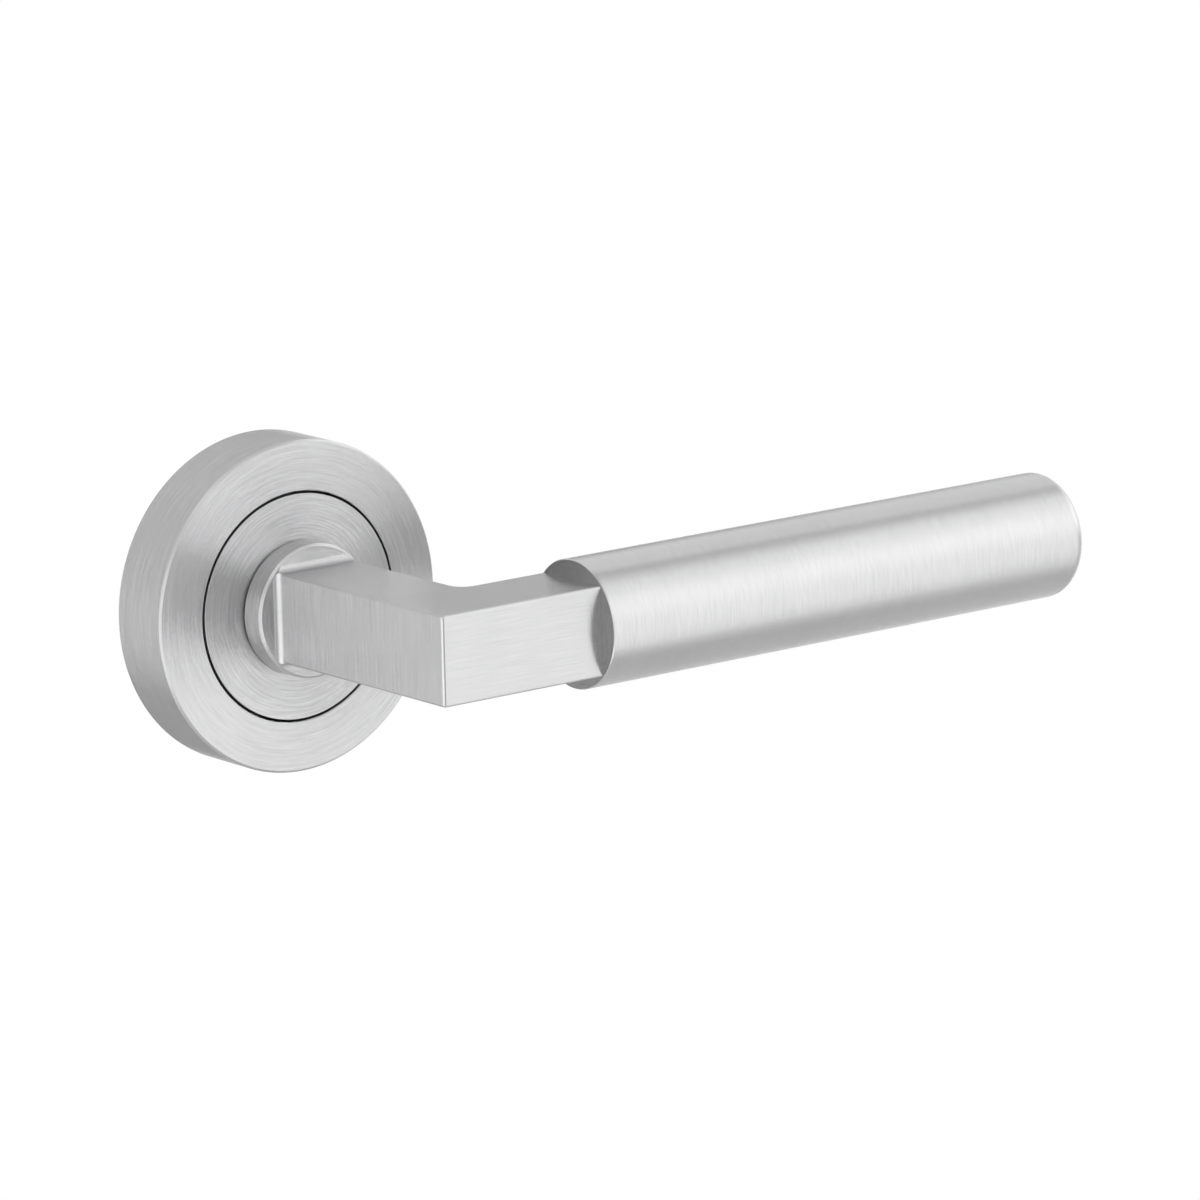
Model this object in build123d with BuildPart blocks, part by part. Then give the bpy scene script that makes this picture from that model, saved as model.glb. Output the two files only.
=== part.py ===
"""Door lever on a round sprung rose, with the spring, stops and bearings inside the rose.

Millimetres. The door face is the plane y = 0 and the handle stands out of it towards -Y.
The spindle axis is the Y axis, +Z is up and the grip points to +X.
A height is a distance in front of the door face, so a height h lies at y = -h.
"""

import os
from math import asin, cos, degrees, radians, sin

from build123d import *

os.makedirs("parts", exist_ok=True)

# Rose: cover ring, inner disc and the groove between them
ROSE_RADIUS = 26.0
ROSE_DEPTH = 11.0
RING_WALL = 2.0
RING_FRONT = 2.6
DISC_RADIUS = 17.65
GROOVE_WIDTH = 0.4
RING_EDGE = 0.35
RING_INNER_EDGE = 0.12
DISC_EDGE = 0.05

# Rose base and its fixing holes
FLANGE_THICKNESS = 3.2
FIXING_INSET = 5.0
FIXING_HOLE_RADIUS = 2.1

# Rear plate and its screws
PLATE_THICKNESS = 1.2
PLATE_SEAT = 1.2
PLATE_CORNER = 3.0
PLATE_SCREWS = 2
PLATE_SCREW_ANGLE = 45.0
SCREW_RADIUS = 1.0
SCREW_HEAD_RADIUS = 1.8
SCREW_LENGTH = 4.2
SCREW_SLOT_WIDTH = 0.5
SCREW_SLOT_DEPTH = 0.4

# Lever
COLLAR_RADIUS = 10.5
COLLAR_HEIGHT = 4.0
COLLAR_EDGE = 0.4
BAR_WIDTH = 14.0
BAR_EDGE = 0.4
PROJECTION = 57.2
ELBOW_INNER_RADIUS = 2.5
ELBOW_OUTER_RADIUS = 0.5
COVE_RADIUS = 1.2
GRIP_RADIUS = 10.05
GRIP_START = 22.9
GRIP_END = 118.4
GRIP_END_RADIUS = 2.2
GRIP_START_EDGE = 0.15
JOIN_DEPTH = 1.0

# Shank, spindle socket and grub screw
SHANK_RADIUS = 8.0
SHANK_END_HEIGHT = 0.3
SHANK_FLATS = 12.5
SOCKET_WIDTH = 8.1
SOCKET_DEPTH = 26.0
GRUB_RADIUS = 2.5
GRUB_HEIGHT = 20.5
GRUB_RECESS = 0.4
GRUB_KEY = 2.5
GRUB_KEY_DEPTH = 1.3

# Bush and retaining ring
BUSH_WALL = 1.3
BUSH_STAND = 0.35
CLIP_THICKNESS = 1.0
CLIP_WIDTH = 1.75
CLIP_OFFSET = 0.4
CLIP_GROOVE_DEPTH = 0.4
CLIP_GAP = 5.0
CLIP_LUG_RADIUS = 1.7
CLIP_LUG_ANGLE = 24.0
CLIP_LUG_HOLE = 0.8

# Driver plate, return spring and stops
DRIVER_THICKNESS = 1.5
TAB_WIDTH = 4.4
WING_WIDTH = 5.4
WIRE_WIDTH = 0.9
WIRE_HEIGHT = 1.6
SPRING_TURNS = 1
FIXED_LEG_ANGLE = -160.0
LEG_SLOT_DEPTH = 1.6
STOP_RADIUS = 1.5
LEVER_TRAVEL = 45.0

# Clearances
RUNNING_FIT = 0.05
CLOSE_FIT = 0.05
PRESS_FIT = 0.02
LOOSE_FIT = 0.2
MOVING_GAP = 0.3
RADIAL_GAP = 0.4
AXIAL_GAP = 0.1
SPRING_SEAT_GAP = 0.15
ARBOR_GAP = 1.0
COIL_GAP = 0.05

# Heights worked up from the door face
clip_height = PLATE_THICKNESS + MOVING_GAP
driver_height = clip_height + CLIP_THICKNESS
shoulder_height = driver_height + DRIVER_THICKNESS
spring_height = shoulder_height + SPRING_SEAT_GAP
collar_rear = ROSE_DEPTH + BUSH_STAND
collar_front = collar_rear + COLLAR_HEIGHT
grip_axis_height = PROJECTION - BAR_WIDTH / 2

# Radii worked out from the shank
clip_groove_radius = SHANK_RADIUS - CLIP_GROOVE_DEPTH
bush_bore = SHANK_RADIUS + RUNNING_FIT
bush_radius = bush_bore + BUSH_WALL
spring_radius = bush_radius + ARBOR_GAP + WIRE_WIDTH / 2
tab_inner = spring_radius + WIRE_WIDTH / 2 + RADIAL_GAP
tab_outer = tab_inner + DRIVER_THICKNESS
cavity_radius = tab_outer + RADIAL_GAP
screw_circle = (cavity_radius + DISC_RADIUS) / 2
stop_circle = cavity_radius - STOP_RADIUS - RADIAL_GAP
driver_radius = stop_circle - STOP_RADIUS - RADIAL_GAP
ring_inner = ROSE_RADIUS - RING_WALL
flange_radius = ring_inner - CLOSE_FIT
fixing_centres = 2 * (ROSE_RADIUS - FIXING_INSET)
plate_width = 2 * (cavity_radius + PLATE_SEAT)

# Spring legs: angles run clockwise from the top, as seen from the front
moving_leg_angle = degrees(asin((TAB_WIDTH / 2 + MOVING_GAP + WIRE_WIDTH / 2) / tab_inner))
spring_sweep = SPRING_TURNS + (moving_leg_angle - FIXED_LEG_ANGLE) / 360
coil_pitch = WIRE_HEIGHT + COIL_GAP
coil_rise = spring_sweep * coil_pitch
spring_front = spring_height + coil_rise + WIRE_HEIGHT
cavity_front = spring_front + LOOSE_FIT
stop_angle = degrees(asin((WING_WIDTH / 2 + MOVING_GAP + STOP_RADIUS) / stop_circle))

# Back of the rose, seen from behind: local x runs to -X and local y up
BACK = Plane(origin=(0, 0, 0), x_dir=(-1, 0, 0), z_dir=(0, 1, 0))

# Half section of a turned piece: local x is the radius, local y the height in front of the door
SECTION = Plane(origin=(0, 0, 0), x_dir=(1, 0, 0), z_dir=(0, 0, -1))


def at_height(height):
    """Plane parallel to the door, seen from the front, with x to the right and y up."""
    return Plane.XZ.offset(height)


def clock(radius, angle):
    """Point at an angle clockwise from the top, as seen from the front."""
    return (radius * sin(radians(angle)), radius * cos(radians(angle)))


plate_screw_places = [
    clock(screw_circle, PLATE_SCREW_ANGLE + number * 360 / PLATE_SCREWS) for number in range(PLATE_SCREWS)
]
stop_places = {
    "rest_stop_pin": clock(stop_circle, 180 - stop_angle),
    "travel_stop_pin": clock(stop_circle, 180 + stop_angle + LEVER_TRAVEL),
}


def finish(piece, label):
    """Name a finished piece and write its file."""
    piece.part.label = label
    export_step(piece.part, f"parts/{label}.step")


# Cover ring: a turned cup that screws over the rim of the base's flange
with BuildPart() as cover_ring:
    with BuildSketch(SECTION) as ring_section:
        with BuildLine():
            Polyline(
                (ring_inner, 0),
                (ROSE_RADIUS, 0),
                (ROSE_RADIUS, ROSE_DEPTH),
                (DISC_RADIUS + GROOVE_WIDTH, ROSE_DEPTH),
                (DISC_RADIUS + GROOVE_WIDTH, ROSE_DEPTH - RING_FRONT),
                (ring_inner, ROSE_DEPTH - RING_FRONT),
                close=True,
            )
        make_face()
        outer_edge = ring_section.vertices().sort_by_distance((ROSE_RADIUS, ROSE_DEPTH))[0]
        chamfer(outer_edge, RING_EDGE)
        inner_edge = ring_section.vertices().sort_by_distance((DISC_RADIUS + GROOVE_WIDTH, ROSE_DEPTH))[0]
        chamfer(inner_edge, RING_INNER_EDGE)
    revolve(axis=Axis.Y)
finish(cover_ring, "cover_ring")

# Rose base: flange on the door, hollow boss whose front is the inner disc
with BuildPart() as rose_base:
    with BuildSketch(SECTION) as base_section:
        with BuildLine():
            Polyline(
                (cavity_radius, 0),
                (flange_radius, 0),
                (flange_radius, FLANGE_THICKNESS),
                (DISC_RADIUS, FLANGE_THICKNESS),
                (DISC_RADIUS, ROSE_DEPTH),
                (bush_radius + PRESS_FIT, ROSE_DEPTH),
                (bush_radius + PRESS_FIT, cavity_front),
                (cavity_radius, cavity_front),
                close=True,
            )
        make_face()
        chamfer(base_section.vertices().sort_by_distance((DISC_RADIUS, ROSE_DEPTH))[0], DISC_EDGE)
    revolve(axis=Axis.Y)
    with BuildSketch(at_height(0)):
        with GridLocations(fixing_centres, 0, 2, 1):
            Circle(FIXING_HOLE_RADIUS)
    extrude(amount=FLANGE_THICKNESS, mode=Mode.SUBTRACT)
    with BuildSketch(at_height(0)):
        seat_width = plate_width + 2 * CLOSE_FIT
        RectangleRounded(seat_width, seat_width, PLATE_CORNER + CLOSE_FIT)
    extrude(amount=PLATE_THICKNESS, mode=Mode.SUBTRACT)
    with BuildSketch(at_height(PLATE_THICKNESS)):
        with Locations(*plate_screw_places):
            Circle(SCREW_RADIUS + CLOSE_FIT)
    extrude(amount=SCREW_LENGTH - PLATE_THICKNESS + LOOSE_FIT, mode=Mode.SUBTRACT)
    with BuildSketch(at_height(PLATE_THICKNESS)):
        slot_middle = cavity_radius + LEG_SLOT_DEPTH / 2 - JOIN_DEPTH / 2
        with Locations(Location((*clock(slot_middle, FIXED_LEG_ANGLE), 0), -FIXED_LEG_ANGLE)):
            Rectangle(WIRE_WIDTH + 2 * LOOSE_FIT, LEG_SLOT_DEPTH + JOIN_DEPTH)
    extrude(amount=spring_height + WIRE_HEIGHT + LOOSE_FIT - PLATE_THICKNESS, mode=Mode.SUBTRACT)
finish(rose_base, "rose_base")

# Front bush: sleeve in the disc that stands proud under the collar, bearing and arbor of the spring
with BuildPart() as front_bush:
    bush_rear = shoulder_height + AXIAL_GAP
    with BuildSketch(at_height(bush_rear)):
        Circle(bush_radius)
        Circle(bush_bore, mode=Mode.SUBTRACT)
    extrude(amount=collar_rear - bush_rear)
finish(front_bush, "front_bush")

# Rear plate: square plate that closes the spring chamber flush with the back of the flange
with BuildPart() as rear_plate:
    with BuildSketch(at_height(0)):
        RectangleRounded(plate_width, plate_width, PLATE_CORNER)
        Circle(SHANK_RADIUS + MOVING_GAP, mode=Mode.SUBTRACT)
        with Locations(*stop_places.values()):
            Circle(STOP_RADIUS + PRESS_FIT, mode=Mode.SUBTRACT)
    extrude(amount=PLATE_THICKNESS)
    with Locations(BACK):
        with Locations(*[(-x, z) for x, z in plate_screw_places]):
            CounterSinkHole(SCREW_RADIUS + CLOSE_FIT, SCREW_HEAD_RADIUS + CLOSE_FIT, PLATE_THICKNESS)
finish(rear_plate, "rear_plate")

# Rear plate screws: countersunk and slotted, flush with the back of the plate
for number, (screw_x, screw_z) in enumerate(plate_screw_places, start=1):
    with BuildPart() as rear_plate_screw:
        head_depth = SCREW_HEAD_RADIUS - SCREW_RADIUS
        with BuildSketch(Plane(origin=(screw_x, 0, screw_z), x_dir=(1, 0, 0), z_dir=(0, 0, -1))):
            with BuildLine():
                Polyline(
                    (0, 0),
                    (SCREW_HEAD_RADIUS, 0),
                    (SCREW_RADIUS, head_depth),
                    (SCREW_RADIUS, SCREW_LENGTH),
                    (0, SCREW_LENGTH),
                    close=True,
                )
            make_face()
        revolve(axis=Axis((screw_x, 0, screw_z), (0, 1, 0)))
        with BuildSketch(at_height(0)):
            with Locations((screw_x, screw_z)):
                Rectangle(2 * SCREW_HEAD_RADIUS, SCREW_SLOT_WIDTH)
        extrude(amount=SCREW_SLOT_DEPTH, mode=Mode.SUBTRACT)
    finish(rear_plate_screw, f"rear_plate_screw_{number}")

# Stop pins: riveted in the rear plate, one at rest and one at full travel
for label, place in stop_places.items():
    with BuildPart() as stop_pin:
        with BuildSketch(at_height(0)):
            with Locations(place):
                Circle(STOP_RADIUS)
        extrude(amount=shoulder_height - AXIAL_GAP)
    finish(stop_pin, label)

# Return spring: close-wound torsion spring of flat wire, one leg in the base, one on the tab
leg_x, leg_z = clock(1, FIXED_LEG_ANGLE)
coil_start = Plane((0, -spring_height - WIRE_HEIGHT / 2, 0), x_dir=(leg_x, 0, leg_z), z_dir=(0, -1, 0))
coil = coil_start * Helix(coil_pitch, coil_rise, spring_radius, lefthand=True)
with BuildPart() as return_spring:
    with BuildSketch(Plane(origin=coil @ 0, x_dir=coil_start.x_dir, z_dir=coil % 0)):
        Rectangle(WIRE_WIDTH, WIRE_HEIGHT)
    sweep(path=coil, is_frenet=True)
    for angle, rise, reach in (
        (FIXED_LEG_ANGLE, 0, cavity_radius + LEG_SLOT_DEPTH - LOOSE_FIT),
        (moving_leg_angle, coil_rise, tab_outer),
    ):
        leg_length = reach - spring_radius
        with BuildSketch(at_height(spring_height + rise + COIL_GAP)):
            place = clock(spring_radius + leg_length / 2, angle)
            with Locations(Location((*place, 0), -angle)):
                Rectangle(WIRE_WIDTH, leg_length)
        extrude(amount=WIRE_HEIGHT - 2 * COIL_GAP)
finish(return_spring, "return_spring")

# Driver plate: keyed to the shank, with the bent tab for the spring and the wing for the stops
with BuildPart() as driver_plate:
    with BuildSketch(at_height(driver_height)):
        Circle(tab_outer)
        with BuildSketch(mode=Mode.PRIVATE) as driver_outline:
            Circle(driver_radius)
            with Locations((0, tab_outer / 2)):
                Rectangle(TAB_WIDTH, tab_outer)
            with Locations((0, -tab_outer / 2)):
                Rectangle(WING_WIDTH, tab_outer)
        add(driver_outline.sketch, mode=Mode.INTERSECT)
        with BuildSketch(mode=Mode.PRIVATE) as key_hole:
            Circle(SHANK_RADIUS + CLOSE_FIT)
            Rectangle(SHANK_FLATS + 2 * CLOSE_FIT, 2 * tab_outer, mode=Mode.INTERSECT)
        add(key_hole.sketch, mode=Mode.SUBTRACT)
    extrude(amount=DRIVER_THICKNESS)
    with BuildSketch(at_height(driver_height)):
        Circle(tab_outer)
        Circle(tab_inner, mode=Mode.SUBTRACT)
        with Locations((0, tab_outer / 2)):
            Rectangle(TAB_WIDTH, tab_outer, mode=Mode.INTERSECT)
    extrude(amount=spring_front - driver_height - LOOSE_FIT)
finish(driver_plate, "driver_plate")

# Retaining ring: open ring with two lugs, in the groove of the shank
with BuildPart() as retaining_ring:
    with BuildSketch(at_height(clip_height)):
        with Locations((0, -CLIP_OFFSET)):
            Circle(clip_groove_radius + CLIP_WIDTH)
        for angle in (-CLIP_LUG_ANGLE, CLIP_LUG_ANGLE):
            with Locations(clock(clip_groove_radius + CLIP_LUG_RADIUS, angle)):
                Circle(CLIP_LUG_RADIUS)
                Circle(CLIP_LUG_HOLE, mode=Mode.SUBTRACT)
        Circle(clip_groove_radius + CLOSE_FIT, mode=Mode.SUBTRACT)
        with Locations((0, SHANK_RADIUS + CLIP_LUG_RADIUS)):
            Rectangle(CLIP_GAP, SHANK_RADIUS, mode=Mode.SUBTRACT)
    extrude(amount=CLIP_THICKNESS)
finish(retaining_ring, "retaining_ring")

# Square bar of the lever: neck, mitred elbow and arm, with its long edges broken
with BuildPart() as bar:
    half = BAR_WIDTH / 2
    neck_start = collar_front - JOIN_DEPTH
    arm_end = GRIP_START + JOIN_DEPTH
    with BuildSketch(SECTION) as bar_outline:
        with BuildLine():
            Polyline(
                (-half, neck_start),
                (-half, PROJECTION),
                (arm_end, PROJECTION),
                (arm_end, PROJECTION - BAR_WIDTH),
                (half, PROJECTION - BAR_WIDTH),
                (half, neck_start),
                close=True,
            )
        make_face()
        inner_corner = (half, PROJECTION - BAR_WIDTH)
        fillet(bar_outline.vertices().sort_by_distance(inner_corner)[0], ELBOW_INNER_RADIUS)
        fillet(bar_outline.vertices().sort_by_distance((-half, PROJECTION))[0], ELBOW_OUTER_RADIUS)
    extrude(amount=half, both=True)
    side_faces = bar.faces().sort_by(Axis.Z)
    side_edges = side_faces[0].edges() + side_faces[-1].edges()
    fillet(
        side_edges.filter_by(lambda e: e.center().X < GRIP_START and -e.center().Y > collar_front),
        BAR_EDGE,
    )

# Cove between the collar's face and the neck, mitred at the corners and trimmed to the collar
with BuildPart() as cove:
    with BuildLine(at_height(collar_front)) as neck_foot:
        Polyline((-half, 0), (-half, half), (half, half), (half, -half), (-half, -half), (-half, 0))
    cove_plane = Plane(origin=(-half, -collar_front, 0), x_dir=(-1, 0, 0), z_dir=(0, 0, 1))
    with BuildSketch(cove_plane):
        with BuildLine():
            RadiusArc((0, COVE_RADIUS), (COVE_RADIUS, 0), -COVE_RADIUS)
            Polyline(
                (COVE_RADIUS, 0),
                (COVE_RADIUS, -JOIN_DEPTH),
                (-JOIN_DEPTH, -JOIN_DEPTH),
                (-JOIN_DEPTH, COVE_RADIUS),
                (0, COVE_RADIUS),
            )
        make_face()
    sweep(path=neck_foot.line, transition=Transition.RIGHT)
    with BuildSketch(at_height(collar_rear)):
        Circle(COLLAR_RADIUS - COLLAR_EDGE)
    extrude(amount=COLLAR_HEIGHT + COVE_RADIUS, mode=Mode.INTERSECT)

# Lever handle: shank and collar, square bar and round grip as one piece
with BuildPart() as lever_handle:
    with BuildSketch(SECTION) as turned_section:
        with BuildLine():
            Polyline(
                (0, SHANK_END_HEIGHT),
                (SHANK_RADIUS, SHANK_END_HEIGHT),
                (SHANK_RADIUS, collar_rear),
                (COLLAR_RADIUS, collar_rear),
                (COLLAR_RADIUS, collar_front),
                (0, collar_front),
                close=True,
            )
        make_face()
        collar_edge = turned_section.vertices().sort_by_distance((COLLAR_RADIUS, collar_front))[0]
        chamfer(collar_edge, COLLAR_EDGE)
    revolve(axis=Axis.Y)
    with BuildSketch(Plane.YZ.offset(GRIP_START)):
        with Locations((-grip_axis_height, 0)):
            Circle(GRIP_RADIUS)
    extrude(amount=GRIP_END - GRIP_START)
    grip_ends = lever_handle.edges().filter_by(GeomType.CIRCLE).sort_by(Axis.X)
    fillet(grip_ends[-1], GRIP_END_RADIUS)
    grip_rims = lever_handle.edges().filter_by(GeomType.CIRCLE).filter_by_position(
        Axis.X, GRIP_START, GRIP_START
    )
    chamfer(grip_rims, GRIP_START_EDGE)
    add(bar.part)
    add(cove.part)
    with BuildSketch(at_height(SHANK_END_HEIGHT)):
        Rectangle(4 * SHANK_RADIUS, 4 * SHANK_RADIUS)
        Rectangle(SHANK_FLATS, 4 * SHANK_RADIUS, mode=Mode.SUBTRACT)
    extrude(amount=shoulder_height - SHANK_END_HEIGHT, mode=Mode.SUBTRACT)
    with BuildSketch(at_height(clip_height - AXIAL_GAP)):
        Circle(2 * SHANK_RADIUS)
        Circle(clip_groove_radius, mode=Mode.SUBTRACT)
    extrude(amount=CLIP_THICKNESS + AXIAL_GAP, mode=Mode.SUBTRACT)
    with BuildSketch(at_height(SHANK_END_HEIGHT)):
        Rectangle(SOCKET_WIDTH, SOCKET_WIDTH)
    extrude(amount=SOCKET_DEPTH, mode=Mode.SUBTRACT)
    with BuildSketch(Plane.XY.offset(-half)):
        with Locations((0, -GRUB_HEIGHT)):
            Circle(GRUB_RADIUS)
    extrude(amount=half, mode=Mode.SUBTRACT)
finish(lever_handle, "lever_handle")

# Grub screw: hexagon socket, in the underside of the neck, its tip level with the socket's wall
with BuildPart() as grub_screw:
    with BuildSketch(Plane.XY.offset(-half + GRUB_RECESS)):
        with Locations((0, -GRUB_HEIGHT)):
            Circle(GRUB_RADIUS - CLOSE_FIT)
    extrude(amount=half - GRUB_RECESS - SOCKET_WIDTH / 2)
    with BuildSketch(Plane.XY.offset(-half + GRUB_RECESS)):
        with Locations((0, -GRUB_HEIGHT)):
            RegularPolygon(GRUB_KEY / 2, 6, major_radius=False)
    extrude(amount=GRUB_KEY_DEPTH, mode=Mode.SUBTRACT)
finish(grub_screw, "grub_screw")
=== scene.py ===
"""Finishes, light and camera for a satin steel door lever on its round rose.

Metres. The door face is y = 0, the handle stands out towards -Y, +Z is up and the grip points to +X.
"""

import math
from collections import namedtuple

import bmesh
import bpy
from bpy.props import FloatProperty, FloatVectorProperty, PointerProperty
from mathutils import Matrix, Vector


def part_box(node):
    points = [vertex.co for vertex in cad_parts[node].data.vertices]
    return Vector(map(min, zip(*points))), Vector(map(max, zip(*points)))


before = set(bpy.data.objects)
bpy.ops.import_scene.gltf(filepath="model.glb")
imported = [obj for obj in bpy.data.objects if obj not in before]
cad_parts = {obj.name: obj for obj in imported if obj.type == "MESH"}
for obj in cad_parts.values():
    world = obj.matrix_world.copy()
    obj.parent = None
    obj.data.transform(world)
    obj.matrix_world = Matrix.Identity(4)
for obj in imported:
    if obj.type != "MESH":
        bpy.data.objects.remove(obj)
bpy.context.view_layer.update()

bl_info = {
    "name": "Door lever on rose",
    "version": (1, 0, 0),
    "blender": (4, 5, 0),
    "location": "3D View > Sidebar > Door lever",
    "description": "Dresses the packed door lever and sets up its studio",
    "category": "Object",
}

# Places on the handle, and the width over which one finish gives way to the next
GRIP_RADIUS = 0.01005
GRIP_START = 0.0229
GRIP_AXIS_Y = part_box("lever_handle")[0].y + GRIP_RADIUS
COLLAR_FRONT = -0.01535
DISC_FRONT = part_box("rose_base")[0].y
DISC_SKIN = 0.0005
BLUR = 0.00003

# Radius at which the lines of a turned piece have the length that is set for them
COLLAR_RADIUS = 0.0105
COVER_RADIUS = 0.022
DISC_RADIUS = 0.014

ORIGIN = (0.0, 0.0, 0.0)
X_AXIS = (1.0, 0.0, 0.0)
Y_AXIS = (0.0, 1.0, 0.0)
Z_AXIS = (0.0, 0.0, 1.0)
WHITE = (1.0, 1.0, 1.0, 1.0)
METAL = 1.0

# The grain is worked out in millimetres
MM = 1000.0

# Steepest slope of a brush mark at a spread of 1 is twice this, and marks wander over this many half widths
BRUSH_SLOPE = 0.13
BRUSH_WANDER = 12.0

# On turned pieces the lines go on round an edge: a step along the axis counts as this many steps outwards
PROFILE_SHARE = 1.37

# How far a face of the bar looks along X where its lines turn upright, and the share by which they show more
UPRIGHT_FACING = (0.70, 0.72)
UPRIGHT_CONTRAST = 1.3

# How far a face of the grip looks along X where it is the step, the share of painted shade laid on it, and
# how far lines change it
STEP_FACING = (-0.90, -0.95)
STEP_PAINTED_SHADE_SHARE = 0.8
STEP_LINES = 1.5

# Darkest and lightest tone of brushed steel and of the floor, as shares of their colour
STEEL_TONES = (0.9, 1.1)
FLOOR_TONES = (0.98, 1.0)

# How far clouds and lines change the roughness of brushed steel
CLOUD_ROUGHNESS = 0.04
LINE_ROUGHNESS = 0.06

# Size of the floor's clouds, its roughness, and where it fades, as shares of its reach
FLOOR_CLOUD = 0.25
FLOOR_ROUGHNESS = 0.7
FLOOR_FADE = (0.3, 0.95)

# How far a direction points to the rear where the dome's parts start and end
FRONT_END = (-0.05, 0.06)
SEAM_START = (-0.06, 0.04)
SEAM_END = (0.06, 0.20)
BACK_START = (0.10, 0.24)

# How far a direction points up where overhead starts, and away from the camera where the backdrop starts
OVERHEAD_START = (0.0, 0.4)
BACKDROP_START = (0.975, 0.9905)

# Nearest and furthest that the camera sees
CAMERA_CLIP = (0.01, 50.0)

# Places of the Mix node's sockets for each kind of value: A, B and the result
MIX_PLACES = {"FLOAT": (2, 3, 0), "VECTOR": (4, 5, 1), "RGBA": (6, 7, 2)}

# Lines of a brushed surface: their direction, the place along them in line lengths, the direction and the
# place across them, how far they spread a reflection, how rough the metal is along them, how plainly they
# show, and how far painted shade darkens the metal
Grain = namedtuple("Grain", "along run across lines spread roughness contrast dull")

# A finish without lines: its darkest and lightest tone as shares of its colour, how fine the detail of its
# noise is, how far that changes the tone, how metallic and how rough it is, how far the noise changes the
# roughness, and how plain and how deep its pits are
Skin = namedtuple("Skin", "tones detail tone_swing metallic roughness roughness_swing pits depth")
CAST = Skin(
    tones=(0.85, 1.15), detail=3.0, tone_swing=2.0, metallic=METAL, roughness=0.48, roughness_swing=0.2,
    pits=0.35, depth=0.0002,
)
BLACKENED = Skin(
    tones=(0.7, 1.4), detail=3.0, tone_swing=2.0, metallic=0.9, roughness=0.36, roughness_swing=0.25,
    pits=0.15, depth=0.0001,
)
PLATED = Skin(
    tones=(0.85, 1.1), detail=3.0, tone_swing=2.5, metallic=METAL, roughness=0.34, roughness_swing=0.3,
    pits=0.12, depth=0.0001,
)
MOULDED = Skin(
    tones=(0.8, 1.3), detail=2.0, tone_swing=2.0, metallic=0.0, roughness=0.5, roughness_swing=0.2,
    pits=0.2, depth=0.0001,
)


class Shade:
    """A socket of a node tree that takes part in Python expressions."""

    def __init__(self, tree, socket=None):
        self.tree = tree
        self.socket = socket

    @property
    def kind(self):
        """The Mix node's word for this kind of value."""
        return "FLOAT" if self.socket.type == "VALUE" else self.socket.type

    def node(self, kind, settings=None, inputs=None, output=0):
        """Add a node, fill its settings and then its sockets, and give one of its outputs, if it has any."""
        made = self.tree.nodes.new(kind)
        for name, value in (settings or {}).items():
            setattr(made, name, value)
        for place, value in (inputs or {}).items():
            if isinstance(value, Shade):
                self.tree.links.new(value.socket, made.inputs[place])
            else:
                made.inputs[place].default_value = value
        return Shade(self.tree, made.outputs[output] if len(made.outputs) else None)

    def sum_of(self, operation, first, second):
        """Add the node of an arithmetic sign between two values, numbers or vectors."""
        kinds = [kind_of(first), kind_of(second)]
        if kinds == ["FLOAT", "FLOAT"]:
            return self.node("ShaderNodeMath", {"operation": operation}, {0: first, 1: second})
        if "FLOAT" in kinds:
            vector, number = (second, first) if kinds[0] == "FLOAT" else (first, second)
            return self.node("ShaderNodeVectorMath", {"operation": "SCALE"}, {0: vector, "Scale": number})
        return self.node("ShaderNodeVectorMath", {"operation": operation}, {0: first, 1: second})

    def __add__(self, other):
        return self.sum_of("ADD", self, other)

    def __radd__(self, other):
        return self.sum_of("ADD", other, self)

    def __sub__(self, other):
        return self.sum_of("SUBTRACT", self, other)

    def __rsub__(self, other):
        return self.sum_of("SUBTRACT", other, self)

    def __mul__(self, other):
        return self.sum_of("MULTIPLY", self, other)

    def __rmul__(self, other):
        return self.sum_of("MULTIPLY", other, self)

    def __abs__(self):
        return self.node("ShaderNodeMath", {"operation": "ABSOLUTE"}, {0: self})


def kind_of(value):
    """Whether a socket, number or tuple is a number, a vector or a colour."""
    if isinstance(value, Shade):
        return value.kind
    if isinstance(value, tuple):
        return "RGBA" if len(value) == 4 else "VECTOR"
    return "FLOAT"


def vector_maths(operation, first, second=None, output=0):
    """Vector Math on one or two vectors, of which one is a socket."""
    inputs = {0: first} if second is None else {0: first, 1: second}
    socket = first if isinstance(first, Shade) else second
    return socket.node("ShaderNodeVectorMath", {"operation": operation}, inputs, output)


def unit(vector):
    """A vector made one unit long."""
    return vector_maths("NORMALIZE", vector)


def cross(first, second):
    """The vector at right angles to two others."""
    return vector_maths("CROSS_PRODUCT", first, second)


def dot(first, second):
    """How far one vector reaches along another."""
    return vector_maths("DOT_PRODUCT", first, second, "Value")


def length_of(vector):
    """How long a vector is."""
    return vector_maths("LENGTH", vector, output="Value")


def blend(first, second, share):
    """Go from the first value to the second as the share goes from 0 to 1."""
    kind = kind_of(first)
    place_first, place_second, output = MIX_PLACES[kind]
    inputs = {0: share, place_first: first, place_second: second}
    return share.node("ShaderNodeMix", {"data_type": kind}, inputs, output)


def rise(value, low, high):
    """A soft step from 0 at low to 1 at high."""
    inputs = {"Value": value, "From Min": low, "From Max": high}
    return value.node("ShaderNodeMapRange", {"interpolation_type": "SMOOTHSTEP"}, inputs)


def noise(place, detail=2.0):
    """Smooth noise about 0 with cells about one unit wide."""
    return place.node("ShaderNodeTexNoise", None, {"Vector": place, "Scale": 1.0, "Detail": detail}) - 0.5


def clouds(place, size, detail=2.0):
    """Smooth noise about 0 with cells of a size in metres."""
    return noise(place * (1 / (size * MM)), detail)


def new_material(name):
    """An empty material and a start for its expressions."""
    material = bpy.data.materials.new(name)
    material.use_nodes = True
    material.node_tree.nodes.clear()
    return material, Shade(material.node_tree)


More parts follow.
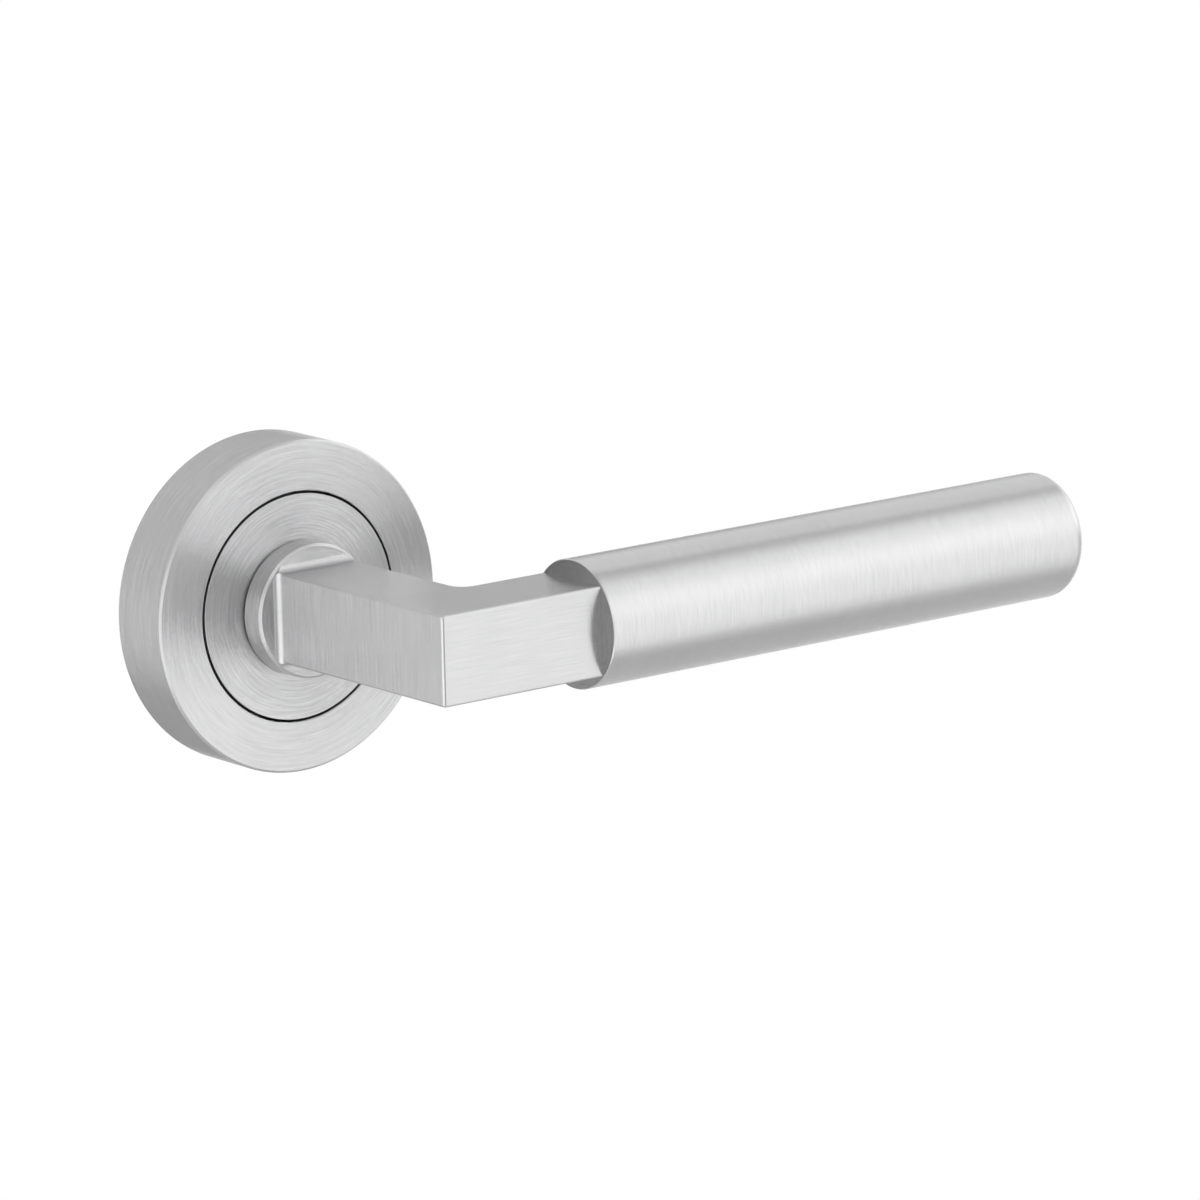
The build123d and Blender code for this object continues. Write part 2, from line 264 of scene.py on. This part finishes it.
def principled(start, **values):
    """The Principled shader, with the names of its sockets written with underscores."""
    inputs = {name.replace("_", " "): value for name, value in values.items()}
    return start.node("ShaderNodeBsdfPrincipled", None, inputs)


def put_on(shader):
    """End a material with the shader that its surface shows."""
    shader.node("ShaderNodeOutputMaterial", None, {"Surface": shader})


def shaded(rgb, factor):
    """A colour property made darker or lighter by a factor."""
    return (*(channel * factor for channel in rgb), 1.0)


def toned(rgb, tones, change):
    """A colour property between its darkest and lightest tone, midway where the change is 0."""
    return blend(shaded(rgb, tones[0]), shaded(rgb, tones[1]), 0.5 + change)


def pitted(height, skin):
    """A facing that a finish's small pits tilt."""
    inputs = {"Strength": skin.pits, "Distance": skin.depth, "Height": height}
    return height.node("ShaderNodeBump", None, inputs)


def surface_place(start):
    """Place of a surface point in millimetres, in the handle's own frame."""
    return start.node("ShaderNodeTexCoord", output="Object") * MM


def surface_facing(start):
    """Facing of a surface point, in the handle's own frame."""
    return start.node("ShaderNodeTexCoord", output="Normal")


def in_world(direction):
    """Turn a facing from the handle's own frame into the scene's."""
    settings = {"vector_type": "NORMAL", "convert_from": "OBJECT", "convert_to": "WORLD"}
    return direction.node("ShaderNodeVectorTransform", settings, {0: direction})


def turned_grain(place, axis, centre, ring_radius, line_length, spread, roughness, contrast):
    """Rings round an axis through a centre, as turning and ring polishing leave them."""
    offset = place - centre
    height = dot(offset, axis)
    spoke = offset - height * axis
    outward = unit(spoke)
    along = unit(cross(outward, axis))
    lines = length_of(spoke) + height * PROFILE_SHARE
    run = outward * (ring_radius / line_length)
    return Grain(along, run, axis, lines, spread, roughness, contrast, 0.0)


def spindle_grain(place, finish, ring_radius, spread, contrast):
    """Rings round the spindle axis, on pieces of the rose and on the collar."""
    return turned_grain(
        place, Y_AXIS, ORIGIN, ring_radius, finish.rose_line_length, spread, finish.rose_roughness, contrast,
    )


def bar_grain(place, facing, line_length, spread, roughness, contrast):
    """Straight lines on the square bar: along X on most faces, upright on the faces that look to +X or -X."""
    sideways = rise(abs(dot(facing, X_AXIS)), *UPRIGHT_FACING)
    along = blend(X_AXIS, Z_AXIS, sideways)
    across = unit(cross(facing, along))
    run = along * (dot(place, along) * (1 / (line_length * MM)))
    plainness = contrast * (1.0 + sideways * UPRIGHT_CONTRAST)
    return Grain(along, run, across, dot(place, across), spread, roughness, plainness, 0.0)


def blend_grain(first, second, share):
    """One grain where the share is 0 and another where it is 1."""
    return Grain(*(blend(one, other, share) for one, other in zip(first, second)))


def streaks(grain, pitch):
    """Noise drawn out along the grain, about 0, with lines of a pitch in metres."""
    return noise(grain.run + grain.across * (grain.lines * (1 / (pitch * MM))))


def brush_slope(grain, pitch, wander_width):
    """Slope of the finest brush marks, which lie side by side at a pitch and wander, in metres."""
    wander = streaks(grain, wander_width) * BRUSH_WANDER
    mark = grain.lines * (2 / (pitch * MM)) + wander
    sway = mark.node("ShaderNodeMath", {"operation": "PINGPONG"}, {0: mark, 1: 1.0}) * 2.0 - 1.0
    return sway * (1.0 + sway * sway) * BRUSH_SLOPE


def handle_grain(place, facing, finish):
    """Grain of the lever handle: turned collar and shank, brushed bar, ring-brushed grip with painted shade
    on its step.
    """
    grip_centre = (0.0, GRIP_AXIS_Y * MM, 0.0)
    collar = spindle_grain(place, finish, COLLAR_RADIUS, finish.disc_spread, finish.disc_contrast)
    bar = bar_grain(
        place, facing, finish.bar_line_length, finish.bar_spread, finish.bar_roughness, finish.bar_contrast,
    )
    grip = turned_grain(
        place, X_AXIS, grip_centre, GRIP_RADIUS, finish.grip_line_length,
        finish.grip_spread, finish.grip_roughness, finish.grip_contrast,
    )
    # The grip's step, the face looking to -X, gets painted shade
    grip = grip._replace(dull=rise(dot(facing, X_AXIS), *STEP_FACING))
    on_collar = rise(dot(place, Y_AXIS), (COLLAR_FRONT - 2 * BLUR) * MM, (COLLAR_FRONT - BLUR) * MM)
    on_grip = rise(dot(place, X_AXIS), (GRIP_START - 2 * BLUR) * MM, (GRIP_START - BLUR) * MM)
    return blend_grain(blend_grain(bar, collar, on_collar), grip, on_grip)


def cover_grain(place, facing, finish):
    """Grain of the cover ring."""
    return spindle_grain(place, finish, COVER_RADIUS, finish.cover_spread, finish.cover_contrast)


def disc_grain(place, facing, finish):
    """Grain of the base's disc."""
    return spindle_grain(place, finish, DISC_RADIUS, finish.disc_spread, finish.disc_contrast)


def satin_steel(name, finish, find_grain, bare_behind=None):
    """Brushed steel. Behind a plane given in metres along Y the metal is left as it was cast."""
    material, start = new_material(name)
    place = surface_place(start)
    facing = surface_facing(start)
    grain = find_grain(place, facing, finish)
    brush = brush_slope(grain, finish.brush_pitch, finish.brush_wander)
    lines = streaks(grain, finish.line_pitch)
    cloud = clouds(place, finish.cloud_size)
    tilt = brush * grain.spread + lines * finish.line_depth
    across = unit(cross(facing, grain.along))
    normal = in_world(unit(facing + across * tilt))
    metal = toned(finish.steel_colour, STEEL_TONES, lines * grain.contrast + cloud * finish.cloud_contrast)
    # Painted shade: on the grip's step the steel colour is blended towards a darker copy of itself
    painted_shade_share = (STEP_PAINTED_SHADE_SHARE + lines * STEP_LINES) * grain.dull
    metal = blend(metal, shaded(finish.steel_colour, finish.step_painted_shade), painted_shade_share)
    roughness = grain.roughness + cloud * CLOUD_ROUGHNESS + lines * LINE_ROUGHNESS
    if bare_behind is not None:
        bare = rise(dot(place, Y_AXIS), (bare_behind - BLUR) * MM, bare_behind * MM)
        grit = clouds(place, finish.cast_grit, CAST.detail)
        metal = blend(metal, toned(finish.cast_colour, CAST.tones, cloud * CAST.tone_swing), bare)
        roughness = blend(roughness, CAST.roughness + grit * CAST.roughness_swing, bare)
        normal = blend(normal, pitted(grit, CAST), bare)
    put_on(principled(start, Base_Color=metal, Metallic=METAL, Roughness=roughness, Normal=normal))
    return material


def plain_finish(name, rgb, skin, cloud_size, grit_size):
    """A finish without lines: clouded, with fine pits."""
    material, start = new_material(name)
    place = surface_place(start)
    cloud = clouds(place, cloud_size, skin.detail)
    pits = pitted(clouds(place, grit_size), skin)
    colour = toned(rgb, skin.tones, cloud * skin.tone_swing)
    roughness = skin.roughness + cloud * skin.roughness_swing
    put_on(principled(start, Base_Color=colour, Metallic=skin.metallic, Roughness=roughness, Normal=pits))
    return material


def dress(material, *nodes):
    """Give CAD nodes their finish."""
    for name in nodes:
        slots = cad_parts[name].material_slots
        if len(slots) == 0:
            raise RuntimeError(f"{name} has no material slot to dress")
        for slot in slots:
            slot.material = material


def angle(label, description, degrees):
    """A property that holds an angle, written in degrees."""
    return FloatProperty(name=label, description=description, subtype="ANGLE", default=math.radians(degrees))


class LeverFinish(bpy.types.PropertyGroup):
    """Colours and grain of the handle's finishes."""

    steel_colour: FloatVectorProperty(
        name="Satin steel", description="Colour of the brushed steel", subtype="COLOR", min=0, max=1,
        default=(0.575, 0.575, 0.58),
    )
    rose_roughness: FloatProperty(
        name="Rose roughness", description="Roughness of the rose and collar along their grain",
        subtype="FACTOR", min=0, max=1, default=0.22,
    )
    bar_roughness: FloatProperty(
        name="Bar roughness", description="Roughness of the square bar along its grain", subtype="FACTOR",
        min=0, max=1, default=0.20,
    )
    grip_roughness: FloatProperty(
        name="Grip roughness", description="Roughness of the round grip along its grain", subtype="FACTOR",
        min=0, max=1, default=0.14,
    )
    cover_spread: FloatProperty(
        name="Cover spread",
        description="How far the finest lines of the cover ring spread a reflection across them",
        min=0, default=2.0,
    )
    disc_spread: FloatProperty(
        name="Disc spread",
        description="How far the finest lines of disc and collar spread a reflection across them",
        min=0, default=2.6,
    )
    bar_spread: FloatProperty(
        name="Bar spread",
        description="How far the finest lines of the bar spread a reflection across them",
        min=0, default=2.0,
    )
    grip_spread: FloatProperty(
        name="Grip spread",
        description="How far the finest lines of the grip spread a reflection across them",
        min=0, default=1.0,
    )
    brush_pitch: FloatProperty(
        name="Brush pitch", description="Width of the finest brush marks", unit="LENGTH", min=0, precision=6,
        default=0.00006,
    )
    brush_wander: FloatProperty(
        name="Brush wander", description="Width over which the finest brush marks wander",
        unit="LENGTH", min=0, precision=5, default=0.004,
    )
    line_pitch: FloatProperty(
        name="Line pitch", description="Width of the brush lines that can be seen",
        unit="LENGTH", min=0, precision=5, default=0.00022,
    )
    rose_line_length: FloatProperty(
        name="Rose line length", description="Length of the lines that show on the rose",
        unit="LENGTH", min=0, precision=4, default=0.006,
    )
    bar_line_length: FloatProperty(
        name="Bar line length", description="Length of the lines that show on the square bar",
        unit="LENGTH", min=0, precision=4, default=0.010,
    )
    grip_line_length: FloatProperty(
        name="Grip line length", description="Length of the lines that show on the grip",
        unit="LENGTH", min=0, precision=4, default=0.003,
    )
    line_depth: FloatProperty(
        name="Line depth", description="How far the seen lines tilt a reflection", min=0, default=0.05,
    )
    cover_contrast: FloatProperty(
        name="Cover contrast", description="How plainly the lines of the cover ring show",
        min=0, default=1.7,
    )
    disc_contrast: FloatProperty(
        name="Disc contrast", description="How plainly the lines of the disc and collar show",
        min=0, default=3.0,
    )
    bar_contrast: FloatProperty(
        name="Bar contrast", description="How plainly the bar's lines show", min=0, default=0.9,
    )
    grip_contrast: FloatProperty(
        name="Grip contrast", description="How plainly the grip's lines show", min=0, default=1.05,
    )
    # Painted shade: the share of the steel colour that the grip's step, facing -X, is painted down to
    step_painted_shade: FloatProperty(
        name="Step shade",
        description="How bright the step where the grip starts is, beside the polished steel",
        subtype="FACTOR", min=0, max=1, default=0.66,
    )
    cloud_size: FloatProperty(
        name="Cloud size", description="Size of the soft changes of tone", unit="LENGTH", min=0, precision=4,
        default=0.008,
    )
    cloud_contrast: FloatProperty(
        name="Cloud contrast", description="How much the tone changes from cloud to cloud",
        min=0, default=0.4,
    )
    cast_colour: FloatVectorProperty(
        name="Cast zinc", description="Colour of the base behind its turned front",
        subtype="COLOR", min=0, max=1, default=(0.46, 0.46, 0.47),
    )
    cast_grit: FloatProperty(
        name="Cast grit", description="Size of the grit on cast and plated pieces",
        unit="LENGTH", min=0, precision=5, default=0.0004,
    )
    dark_colour: FloatVectorProperty(
        name="Blackened steel", description="Colour of the spring, ring and grub screw",
        subtype="COLOR", min=0, max=1, default=(0.09, 0.09, 0.095),
    )
    plated_colour: FloatVectorProperty(
        name="Zinc plate", description="Colour of the pressed pieces and screws",
        subtype="COLOR", min=0, max=1, default=(0.58, 0.60, 0.63),
    )
    nylon_colour: FloatVectorProperty(
        name="Nylon", description="Colour of the bush",
        subtype="COLOR", min=0, max=1, default=(0.02, 0.02, 0.021),
    )


class LeverStudio(bpy.types.PropertyGroup):
    """Floor, light and camera."""

    floor_colour: FloatVectorProperty(
        name="Floor", description="Colour of the floor",
        subtype="COLOR", min=0, max=1, default=(0.70, 0.70, 0.70),
    )
    floor_drop: FloatProperty(
        name="Floor drop", description="How far the floor lies below the spindle axis",
        unit="LENGTH", min=0, default=0.3,
    )
    floor_reach: FloatProperty(
        name="Floor reach", description="How far the floor goes out before it has faded",
        unit="LENGTH", min=0.1, default=0.48,
    )
    dome_level: FloatProperty(name="Dome", description="Level of the light all round", min=0, default=0.69)
    front_level: FloatProperty(
        name="Front light", description="Level that the front light's middle adds to the dome",
        min=0, default=0.97,
    )
    front_azimuth: angle("Front azimuth", "Side that the front light stands on", -1.0)
    front_elevation: angle("Front elevation", "Height of the front light's middle", -4.4)
    front_reach: angle("Front reach", "Angle from its middle at which the front light ends", 75.2)
    side_level: FloatProperty(
        name="Side light", description="Level that the side light's middle adds to the dome",
        min=0, default=1.34,
    )
    side_azimuth: angle("Side azimuth", "Side that the side light stands on", -81.5)
    side_elevation: angle("Side elevation", "Height of the side light's middle", -13.3)
    side_reach: angle("Side reach", "Angle from its middle at which the side light ends", 54.5)
    right_level: FloatProperty(
        name="Right light", description="Level that the right light's middle adds to the dome",
        min=0, default=1.04,
    )
    right_azimuth: angle("Right azimuth", "Side that the right light stands on", 74.6)
    right_elevation: angle("Right elevation", "Height of the right light's middle", 24.9)
    right_reach: angle("Right reach", "Angle from its middle at which the right light ends", 34.5)
    end_level: FloatProperty(
        name="End light", description="Level that the light past the grip's end adds to the dome",
        min=0, default=0.6,
    )
    end_azimuth: angle("End azimuth", "Side that the end light stands on", 116.0)
    end_elevation: angle("End elevation", "Height of the end light's middle", -8.0)
    end_reach: angle("End reach", "Angle from its middle at which the end light ends", 32.0)
    back_level: FloatProperty(
        name="Back light", description="Level that the light overhead at the back adds to the dome",
        min=0, default=0.24,
    )
    seam: FloatProperty(
        name="Seam",
        description="Share of the light that is missing between the front light and the one overhead",
        subtype="FACTOR", min=0, max=1, default=0.15,
    )
    front_card: FloatProperty(
        name="Front card", description="Share of the light that the dark card by the camera takes away",
        subtype="FACTOR", min=0, max=1, default=0.74,
    )
    front_card_azimuth: angle("Front card azimuth", "Side that the card by the camera stands on", -25.4)
    front_card_elevation: angle("Front card elevation", "Height of the front card's middle", -8.9)
    front_card_reach: angle("Front card reach", "Angle from its middle at which the front card ends", 48.0)
    rear_card: FloatProperty(
        name="Rear card", description="Share of the light that the dark card behind the handle takes away",
        subtype="FACTOR", min=0, max=1, default=0.718,
    )
    rear_card_azimuth: angle("Rear card azimuth", "Side that the card behind the handle stands on", 168.0)
    rear_card_elevation: angle("Rear card elevation", "Height of the rear card's middle", -5.8)
    rear_card_reach: angle("Rear card reach", "Angle from its middle at which the rear card ends", 40.4)
    view_azimuth: angle("View azimuth", "Camera's side, to the right of the front", -38.013)
    view_elevation: angle("View elevation", "Camera's height above the handle", 12.198)
    view_roll: angle("View roll", "Turn of the camera about its own axis", -1.283)
    view_distance: FloatProperty(
        name="View distance", description="From the camera to the middle of the handle",
        unit="LENGTH", min=0.1, default=1.1207,
    )
    view_centre: FloatVectorProperty(
        name="View centre", description="Point that the viewing angle is measured at", subtype="TRANSLATION",
        unit="LENGTH", default=(0.050, -0.025, 0.0),
    )
    view_slide: FloatVectorProperty(
        name="View slide",
        description="How far the picture's middle lies to the right of that point and above it",
        size=2, unit="LENGTH", default=(-0.0017, -0.0043),
    )
    lens: FloatProperty(name="Lens", description="Focal length", unit="CAMERA", min=1, default=215.0)


class DOORLEVER_OT_dress_handle(bpy.types.Operator):
    """Finish the lever handle in brushed steel, with the grain that each of its forms was given"""

    bl_idname = "door_lever.dress_handle"
    bl_label = "Dress lever handle"

    def execute(self, context):
        finish = context.scene.lever_finish
        dress(satin_steel("satin_steel_handle", finish, handle_grain), "lever_handle")
        return {"FINISHED"}


class DOORLEVER_OT_dress_rose(bpy.types.Operator):
    """Finish the cover ring and the rose base, whose back is left as cast"""

    bl_idname = "door_lever.dress_rose"
    bl_label = "Dress rose"

    def execute(self, context):
        finish = context.scene.lever_finish
        dress(satin_steel("satin_steel_ring", finish, cover_grain), "cover_ring")
        dress(satin_steel("satin_steel_base", finish, disc_grain, DISC_FRONT + DISC_SKIN), "rose_base")
        return {"FINISHED"}


class DOORLEVER_OT_dress_bush(bpy.types.Operator):
    """Finish the bush in black nylon"""

    bl_idname = "door_lever.dress_bush"
    bl_label = "Dress bush"

    def execute(self, context):
        finish = context.scene.lever_finish
        nylon = plain_finish("black_nylon", finish.nylon_colour, MOULDED, finish.cast_grit, finish.cast_grit)
        dress(nylon, "front_bush")
        return {"FINISHED"}


class DOORLEVER_OT_dress_spring_pieces(bpy.types.Operator):
    """Finish the spring, the retaining ring and the grub screw in blackened steel"""

    bl_idname = "door_lever.dress_spring_pieces"
    bl_label = "Dress spring pieces"

    def execute(self, context):
        finish = context.scene.lever_finish
        dark = plain_finish("dark_steel", finish.dark_colour, BLACKENED, finish.cloud_size, finish.cast_grit)
        dress(dark, "return_spring", "retaining_ring", "grub_screw")
        return {"FINISHED"}


class DOORLEVER_OT_dress_plated_pieces(bpy.types.Operator):
    """Finish the plates, the stop pins and the rear screws in zinc plate"""

    bl_idname = "door_lever.dress_plated_pieces"
    bl_label = "Dress plated pieces"

    def execute(self, context):
        finish = context.scene.lever_finish
        colour = finish.plated_colour
        plated = plain_finish("plated_steel", colour, PLATED, finish.cloud_size, finish.cast_grit)
        screws = [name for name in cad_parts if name.startswith("rear_plate_screw")]
        dress(plated, "rear_plate", "driver_plate", "rest_stop_pin", "travel_stop_pin", *screws)
        return {"FINISHED"}


def towards(azimuth, elevation):
    """Direction out from the handle, azimuth 0 being straight in front and positive to the right."""
    flat = math.cos(elevation)
    return Vector((math.sin(azimuth) * flat, -math.cos(azimuth) * flat, math.sin(elevation)))


def lay_floor(studio):
    """Plain pale floor below the handle, which fades out into the light all round."""
    mesh = bpy.data.meshes.new("studio_floor")
    grid = bmesh.new()
    bmesh.ops.create_grid(grid, x_segments=1, y_segments=1, size=studio.floor_reach)
    grid.to_mesh(mesh)
    grid.free()
    floor = bpy.data.objects.new("studio_floor", mesh)
    floor.location = (studio.view_centre[0], studio.view_centre[1], -studio.floor_drop)
    bpy.context.scene.collection.objects.link(floor)
    material, start = new_material("studio_floor")
    place = surface_place(start)
    colour = toned(studio.floor_colour, FLOOR_TONES, clouds(place, FLOOR_CLOUD))
    paint = principled(start, Base_Color=colour, Roughness=FLOOR_ROUGHNESS)
    fade = rise(length_of(place), *(studio.floor_reach * share * MM for share in FLOOR_FADE))
    clear = start.node("ShaderNodeBsdfTransparent")
    put_on(start.node("ShaderNodeMixShader", None, {0: fade, 1: paint, 2: clear}))
    mesh.materials.append(material)


def glow(direction, azimuth, elevation, reach):
    """A soft round patch of the dome: 1 in its middle, 0 from its reach on."""
    return rise(dot(direction, tuple(towards(azimuth, elevation))), math.cos(reach), 1.0)


def light_dome(studio):
    """Light all round, with five soft lights, a seam and two dark cards, and white where the camera looks."""
    world = bpy.data.worlds.new("studio_dome")
    world.use_nodes = True
    world.node_tree.nodes.clear()
    direction = Shade(world.node_tree).node("ShaderNodeTexCoord", output="Generated")
    rear = dot(direction, Y_AXIS)
    overhead = rise(dot(direction, Z_AXIS), *OVERHEAD_START)
    front = glow(direction, studio.front_azimuth, studio.front_elevation, studio.front_reach)
    front = front * (1.0 - rise(rear, *FRONT_END) * overhead)
    side = glow(direction, studio.side_azimuth, studio.side_elevation, studio.side_reach)
    right = glow(direction, studio.right_azimuth, studio.right_elevation, studio.right_reach)
    end = glow(direction, studio.end_azimuth, studio.end_elevation, studio.end_reach)
    back = rise(rear, *BACK_START) * overhead
    seam = (rise(rear, *SEAM_START) - rise(rear, *SEAM_END)) * overhead
    level = studio.dome_level + front * studio.front_level + side * studio.side_level
    level = level + right * studio.right_level + end * studio.end_level + back * studio.back_level
    front_card = glow(
        direction, studio.front_card_azimuth, studio.front_card_elevation, studio.front_card_reach,
    )
    rear_card = glow(direction, studio.rear_card_azimuth, studio.rear_card_elevation, studio.rear_card_reach)
    level = level * (1.0 - front_card * studio.front_card) * (1.0 - rear_card * studio.rear_card)
    level = level * (1.0 - seam * studio.seam)
    behind = -towards(studio.view_azimuth, studio.view_elevation)
    backdrop = rise(dot(direction, tuple(behind)), *BACKDROP_START)
    camera, glossy, through = (
        direction.node("ShaderNodeLightPath", output=ray)
        for ray in ("Is Camera Ray", "Is Glossy Ray", "Is Transmission Ray")
    )
    level = blend(level, 1.0, camera + (glossy + through) * backdrop)
    background = level.node("ShaderNodeBackground", None, {"Color": WHITE, "Strength": level})
    background.node("ShaderNodeOutputWorld", None, {"Surface": background})
    bpy.context.scene.world = world


def aim_camera(studio):
    """Camera at the picture's viewing angle, on the middle of the handle."""
    back = towards(studio.view_azimuth, studio.view_elevation)
    level_right = Vector((math.cos(studio.view_azimuth), math.sin(studio.view_azimuth), 0.0))
    level_up = back.cross(level_right)
    roll_cos, roll_sin = math.cos(studio.view_roll), math.sin(studio.view_roll)
    right = level_right * roll_cos + level_up * roll_sin
    up = level_up * roll_cos - level_right * roll_sin
    slide = right * studio.view_slide[0] + up * studio.view_slide[1]
    stand = Vector(studio.view_centre) + back * studio.view_distance
    gaze = (stand - Vector(studio.view_centre) - slide).normalized()
    side = up.cross(gaze).normalized()
    data = bpy.data.cameras.new("studio_camera")
    data.lens = studio.lens
    data.clip_start, data.clip_end = CAMERA_CLIP
    camera = bpy.data.objects.new("studio_camera", data)
    axes = Matrix((side, gaze.cross(side), gaze)).transposed()
    camera.matrix_world = Matrix.Translation(stand) @ axes.to_4x4()
    bpy.context.scene.collection.objects.link(camera)
    bpy.context.scene.camera = camera


class DOORLEVER_OT_set_studio(bpy.types.Operator):
    """Lay the floor, light the handle and aim the camera"""

    bl_idname = "door_lever.set_studio"
    bl_label = "Set studio"

    def execute(self, context):
        studio = context.scene.lever_studio
        lay_floor(studio)
        light_dome(studio)
        aim_camera(studio)
        context.scene.view_settings.view_transform = "Standard"
        return {"FINISHED"}


class DOORLEVER_PT_sidebar(bpy.types.Panel):
    """Finishes and studio of the door lever"""

    bl_idname = "DOORLEVER_PT_sidebar"
    bl_label = "Door lever"
    bl_space_type = "VIEW_3D"
    bl_region_type = "UI"
    bl_category = "Door lever"

    def draw(self, context):
        for settings in (context.scene.lever_finish, context.scene.lever_studio):
            box = self.layout.box()
            for name in settings.__annotations__:
                box.prop(settings, name)
        for operator in OPERATORS:
            self.layout.operator(operator.bl_idname)


OPERATORS = (
    DOORLEVER_OT_dress_handle,
    DOORLEVER_OT_dress_rose,
    DOORLEVER_OT_dress_bush,
    DOORLEVER_OT_dress_spring_pieces,
    DOORLEVER_OT_dress_plated_pieces,
    DOORLEVER_OT_set_studio,
)
CLASSES = (LeverFinish, LeverStudio, *OPERATORS, DOORLEVER_PT_sidebar)


def register():
    for cls in CLASSES:
        bpy.utils.register_class(cls)
    bpy.types.Scene.lever_finish = PointerProperty(type=LeverFinish)
    bpy.types.Scene.lever_studio = PointerProperty(type=LeverStudio)


def unregister():
    del bpy.types.Scene.lever_studio
    del bpy.types.Scene.lever_finish
    for cls in reversed(CLASSES):
        bpy.utils.unregister_class(cls)


def main():
    register()
    bpy.ops.door_lever.dress_handle()
    bpy.ops.door_lever.dress_rose()
    bpy.ops.door_lever.dress_bush()
    bpy.ops.door_lever.dress_spring_pieces()
    bpy.ops.door_lever.dress_plated_pieces()
    bpy.ops.door_lever.set_studio()


if __name__ == "__main__":
    main()
